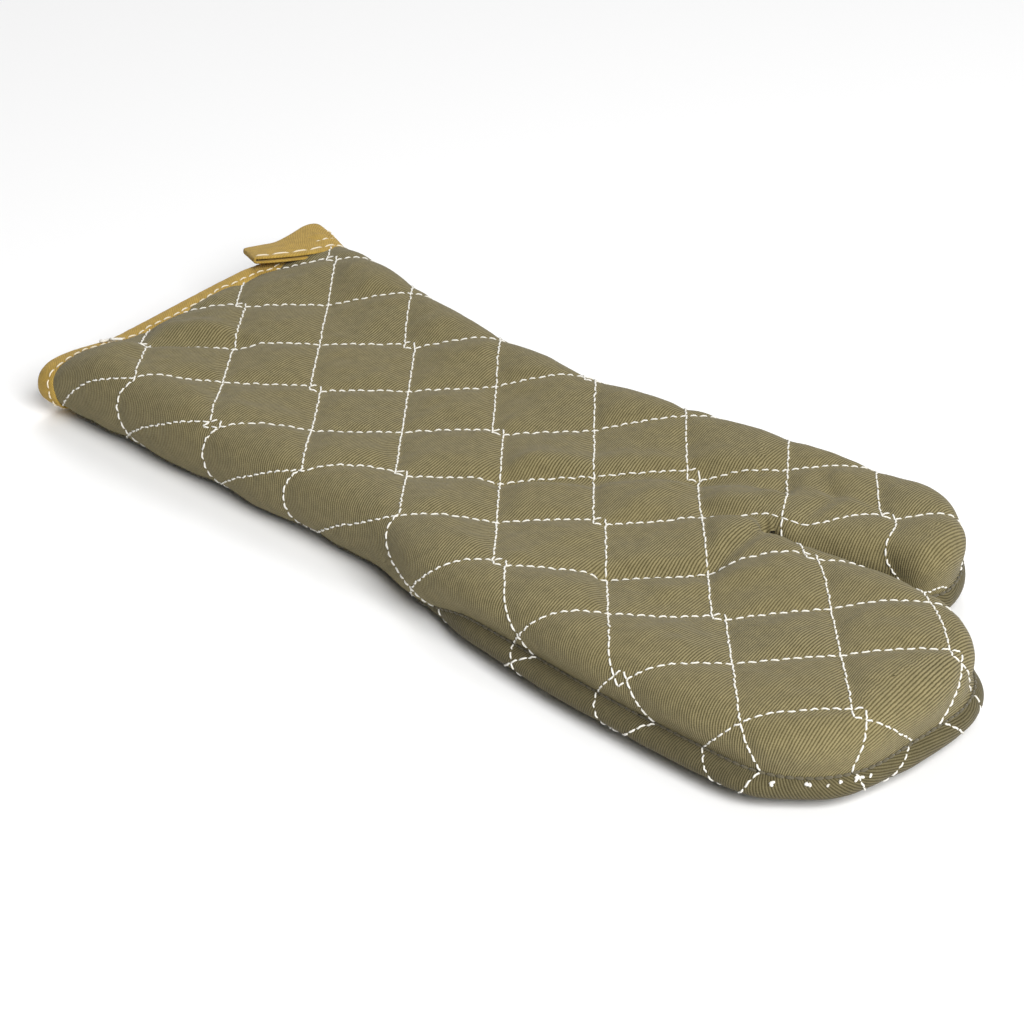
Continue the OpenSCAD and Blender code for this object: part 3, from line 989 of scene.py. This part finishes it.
BINDING_COUNT = 260
TOPSTITCH_PITCH, TOPSTITCH_GAP, TOPSTITCH_RADIUS = 4.9, 1.3, 0.34
TOPSTITCH_RISE = (0.0, 0.25, 0.32, 0.25, 0.0)


def binding_wave(k):
    """How the tape's inner edge wanders: it was stretched round the quilting as it was sewn."""
    t = k / BINDING_COUNT * math.tau
    points = 1.1 * abs(math.sin(9.5 * t + 0.4)) ** 3 + 0.7 * abs(math.sin(17 * t + 1.1)) ** 4
    return 0.9 * math.sin(5 * t + 0.6) + 0.6 * math.sin(11 * t + 2.0) + points - 0.5


def binding_mesh():
    # section corners: distance from the cuff edge, height above the outer cloth, share of the wander
    section = [(11.2, 0.15, 1), (11.5, 0.75, 1), (11.0, 1.25, 1), (8.5, 1.45, 0.8), (5.5, 1.6, 0.4),
               (2.5, 1.4, 0), (0.6, 0.9, 0), (-0.9, -0.6, 0), (-1.4, -3.0, 0), (-1.2, -5.5, 0),
               (-0.3, -7.6, 0), (2.0, -8.9, 0), (6.0, -9.3, 0), (10.2, -9.3, 0), (10.3, -8.3, 0),
               (6.0, -8.2, 0), (1.4, -7.4, 0), (0.3, -5.0, 0), (0.3, -1.5, 0), (1.6, -0.1, 0),
               (6.0, 0.1, 0.5)]
    rings = []
    for dx, out, share in section:
        loop = cuff_section(CUFF_X + min(dx, 9), out, BINDING_COUNT)
        ring = []
        for k, (y, z) in enumerate(loop):
            x = CUFF_X + dx + share * binding_wave(k)
            ripple = 0.25 * math.sin(k * 0.9 + dx) * noise.noise(Vector((k * 0.21, dx * 0.3, 1.7)))
            ring.append((x, y, z + (ripple if out > -1 else 0)))
        rings.append(np.array(ring))
    points = np.concatenate(rings)
    faces = []
    for n in range(len(section)):
        a, b = n * BINDING_COUNT, (n + 1) % len(section) * BINDING_COUNT
        for k in range(BINDING_COUNT):
            q = (k + 1) % BINDING_COUNT
            faces.append((a + k, a + q, b + q, b + k))
    return points, faces, rings


points, faces, rings = binding_mesh()
length = lengths(rings[4])
# distances across the tape's width from each section corner to the next
widths = [1.5, 1, 2.5, 3, 3, 2.2, 2, 2.5, 2.5, 2.2, 2.6, 4, 4, 1, 4, 4.6, 2.6, 3.5, 2, 4.4]
run = np.concatenate([[0], np.cumsum(widths)])
binding_cloth = np.array([(length[k], run[a]) for a in range(len(rings)) for k in range(BINDING_COUNT)])
binding = make_object("cuff_binding_tape", points, faces, TAN, binding_cloth)
add_subdivision(binding)
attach(binding, "palm")
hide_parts("cuff_binding")

tubes = Tubes()
closed = np.vstack([rings[3], rings[3][:1]])
along = lengths(closed)
for n in range(int(along[-1] / TOPSTITCH_PITCH)):
    path = []
    start = n * TOPSTITCH_PITCH
    for u, rise in zip(np.linspace(start, start + TOPSTITCH_PITCH - TOPSTITCH_GAP, 5), TOPSTITCH_RISE):
        p, q = place_at(closed, along, u), place_at(closed, along, u + 0.5)
        ahead = (q - p) / max(np.linalg.norm(q - p), 1e-9)
        path.append(p + np.cross(np.array([1.0, 0, 0]), ahead) * rise)
    tubes.add(path, TOPSTITCH_RADIUS)
ob = tubes.object("binding_topstitch", CREAM)
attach(ob, "palm")
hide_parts("binding_stitching")


# ---------------------------------------------------------------- hanging loop
# The tape's two long edges over the far corner of the cuff, from the free end to the side seam.
CORNER = np.array([box_mm("hanging_loop")[0][0], float(far_side(CUFF_X)), 30.0])
LOOP_FAR = CORNER + np.array([(-2.6, -40.0, 1.0), (0.0, -33.0, 1.0), (2.3, -26.4, 1.0),
                              (-0.3, -15.1, 0.5), (-4.0, -2.8, 0.0), (-1.4, 2.7, -0.4),
                              (-1.0, 4.0, -5.4)])
LOOP_NEAR = CORNER + np.array([(16.5, -50.0, 5.2), (21.0, -43.0, 4.8), (26.2, -32.7, 4.2),
                               (29.5, -24.1, 3.8), (29.5, -15.2, 2.4), (30.4, -10.2, 0.0),
                               (28.6, -5.2, -4.4)])


def loop_place(u, w, drop):
    """Middle of the tape at length u and width w, drop mm below the upper run."""
    far, near = spline(LOOP_FAR, u), spline(LOOP_NEAR, u)
    place = far + (near - far) * w
    ahead = spline(LOOP_NEAR, min(u + 0.01, 1)) - spline(LOOP_NEAR, max(u - 0.01, 0))
    normal = np.cross(near - far, ahead)
    normal /= np.linalg.norm(normal)
    arch = 0.7 * math.sin(math.pi * w) * smooth(u * 3)
    notch = 2.2 * smooth((u - 0.90) / 0.06) * math.exp(-((w - 0.47) / 0.05) ** 2)
    return place + normal * (arch - drop - notch), normal


def loop_mesh():
    """The tape runs out along the top, turns back at the free end, and returns underneath."""
    rows, half, gap = 22, 0.62, 1.9
    path = [(1 - k / rows * 0.985, 0.0) for k in range(rows + 1)]
    path += [(0.015 - 0.03 * math.sin(a), gap / 2 * (1 - math.cos(a)))
             for a in np.radians((45, 90, 135))]
    path += [(0.015 + k / rows * 0.985, gap) for k in range(rows + 1)]
    widths = (0.0, 0.03, 0.12, 0.25, 0.38, 0.43, 0.47, 0.51, 0.56, 0.7, 0.84, 0.93, 0.975, 1.0)
    places = np.array([[loop_place(max(u, 0), w, d)[0] for w in widths] for u, d in path])
    along = np.gradient(places, axis=0)
    across = np.gradient(places, axis=1)
    out = np.cross(across, along)
    out /= np.linalg.norm(out, axis=2)[:, :, None]
    edge = np.array([0.45 if w in (0.0, 1.0) else 1.0 for w in widths])
    outer = places - out * half * edge[None, :, None]
    inner = places + out * half * edge[None, :, None]
    n, m = len(path), len(widths)
    points = np.concatenate([outer.reshape(-1, 3), inner.reshape(-1, 3)])
    faces = []
    for a in range(n - 1):
        for b in range(m - 1):
            q = (a * m + b, a * m + b + 1, (a + 1) * m + b + 1, (a + 1) * m + b)
            faces.append(q)
            faces.append(tuple(v + n * m for v in reversed(q)))
    for a in range(n - 1):
        for b, turn in ((0, 1), (m - 1, -1)):
            q = (a * m + b, (a + 1) * m + b, (a + 1) * m + b + n * m, a * m + b + n * m)
            faces.append(q[::turn])
    for b in range(m - 1):
        for a, turn in ((0, -1), (n - 1, 1)):
            q = (a * m + b, a * m + b + 1, a * m + b + 1 + n * m, a * m + b + n * m)
            faces.append(q[::turn])
    length = lengths(places[:, 8])
    flat = np.array([(length[a], widths[b] * 24) for a in range(n) for b in range(m)])
    return points, faces, np.concatenate([flat, flat])


def outward(ob):
    """Turns every face of a closed mesh outwards."""
    work = bmesh.new()
    work.from_mesh(ob.data)
    bmesh.ops.recalc_face_normals(work, faces=work.faces)
    work.to_mesh(ob.data)
    work.free()


points, faces, loop_cloth = loop_mesh()
loop = make_object("hanging_loop_tape", points, faces, TAN, loop_cloth)
add_subdivision(loop)
outward(loop)
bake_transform(loop)
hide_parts("hanging_loop")

tubes = Tubes()
# start and end along the tape, and place across it: a row near one edge, then the bar tack
stitches = [(0.03 + 0.138 * k, 0.03 + 0.138 * k + 0.112, 0.885 - 0.02 * math.sin(k)) for k in range(7)]
for a, b, w in stitches + [(0.80, 0.865, 0.36), (0.89, 0.925, 0.38)]:
    path, ups = [], []
    for k, u in enumerate(np.linspace(a, b, 6)):
        place, normal = loop_place(u, w, -(0.5, 0.82, 0.88, 0.88, 0.82, 0.5)[k])
        path.append(place)
        ups.append(normal)
    tubes.add(path, 0.36, ups=ups)
ob = tubes.object("loop_topstitch", CREAM)
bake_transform(ob)
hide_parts("loop_bartack")


# ---------------------------------------------------------------- stage, light and camera
floor = bpy.data.meshes.new("floor")
size = 12.0
corners = [(-size, -size, 0), (size, -size, 0), (size, size, 0), (-size, size, 0)]
floor.from_pydata(corners, [], [(0, 1, 2, 3)])
floor_ob = bpy.data.objects.new("floor", floor)
bpy.context.scene.collection.objects.link(floor_ob)
pale = bpy.data.materials.new("pale_floor")
pale.use_nodes = True
pale_shader = pale.node_tree.nodes["Principled BSDF"]
pale_shader.inputs["Base Color"].default_value = (0.96, 0.96, 0.96, 1)
pale_shader.inputs["Roughness"].default_value = 0.9
floor.materials.append(pale)

world = bpy.data.worlds.new("studio")
bpy.context.scene.world = world
world.use_nodes = True
sky = world.node_tree.nodes
place = sky.new("ShaderNodeTexCoord")
split_axes = sky.new("ShaderNodeSeparateXYZ")
ramp = map_range(sky, -0.1, 0.9, 0.45, 2.0)
world.node_tree.links.new(place.outputs["Generated"], split_axes.inputs[0])
world.node_tree.links.new(split_axes.outputs["Z"], ramp.inputs["Value"])
world.node_tree.links.new(ramp.outputs[0], sky["Background"].inputs[1])
bpy.context.scene.view_settings.view_transform = "Standard"


def area_light(name, place, target, width, power):
    data = bpy.data.lights.new(name, "AREA")
    data.shape = "SQUARE"
    data.size = width
    data.energy = power
    ob = bpy.data.objects.new(name, data)
    ob.location = place
    ob.rotation_euler = (Vector(target) - Vector(place)).to_track_quat("-Z", "Y").to_euler()
    bpy.context.scene.collection.objects.link(ob)


area_light("key", (1.75, -0.66, 1.6), (0.15, -0.05, 0), 1.5, 83)
area_light("fill", (-3.0, 2.6, 3.6), (0, 0, 0), 3.2, 150)

camera = bpy.data.cameras.new("camera")
camera.sensor_width = 36
camera.lens = 106.2
eye = bpy.data.objects.new("camera", camera)
eye.location = (0.7192, -0.7325, 0.5595)
eye.rotation_euler = tuple(math.radians(a) for a in (61.53, 0.49, 44.56))
bpy.context.scene.collection.objects.link(eye)
bpy.context.scene.camera = eye
